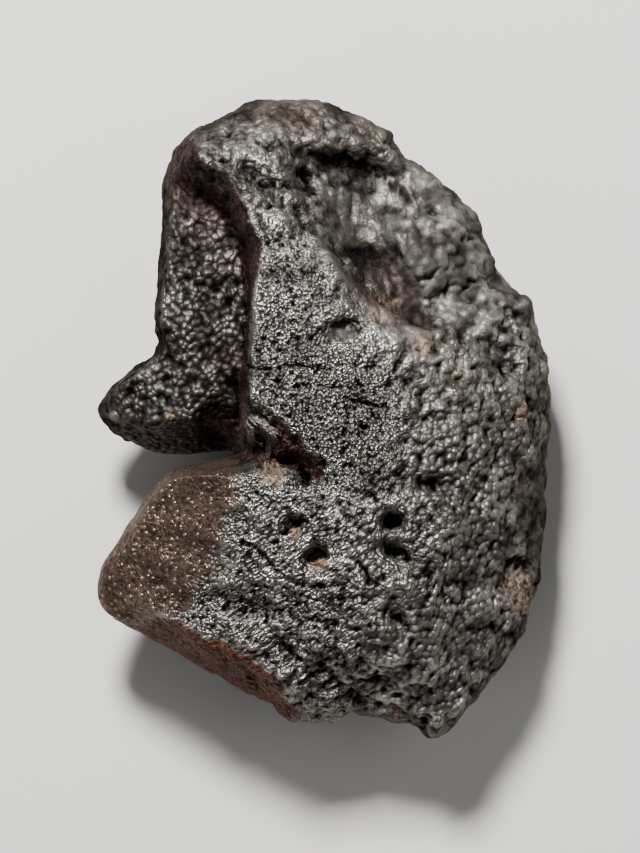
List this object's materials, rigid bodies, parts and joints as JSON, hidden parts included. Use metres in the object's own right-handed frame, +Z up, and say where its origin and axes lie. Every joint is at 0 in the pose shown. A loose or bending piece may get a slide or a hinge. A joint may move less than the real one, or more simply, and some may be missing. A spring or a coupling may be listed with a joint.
{
  "type": "iron meteorite",
  "caption": "Small iron meteorite: a knobbly dark metal lump with a stepped shelf, a thumbprint hollow, pits and a deep side notch, lying on its back.",
  "frame": {"origin": "middle of the outline seen from above, at the height of the face it rests on", "axes": "+Y along the longest way, towards the end with the thumbprint hollow; +X away from the notch; +Z up out of the broad front face, its thinnest way"},
  "size_m": [0.0316, 0.0445, 0.0179],
  "materials": {
    "iron": "dark weathered nickel-iron, grainy and half bright, with brown and rust patches"
  },
  "bodies": {
    "root": {"meteorite": "iron"}
  },
  "joints": []
}
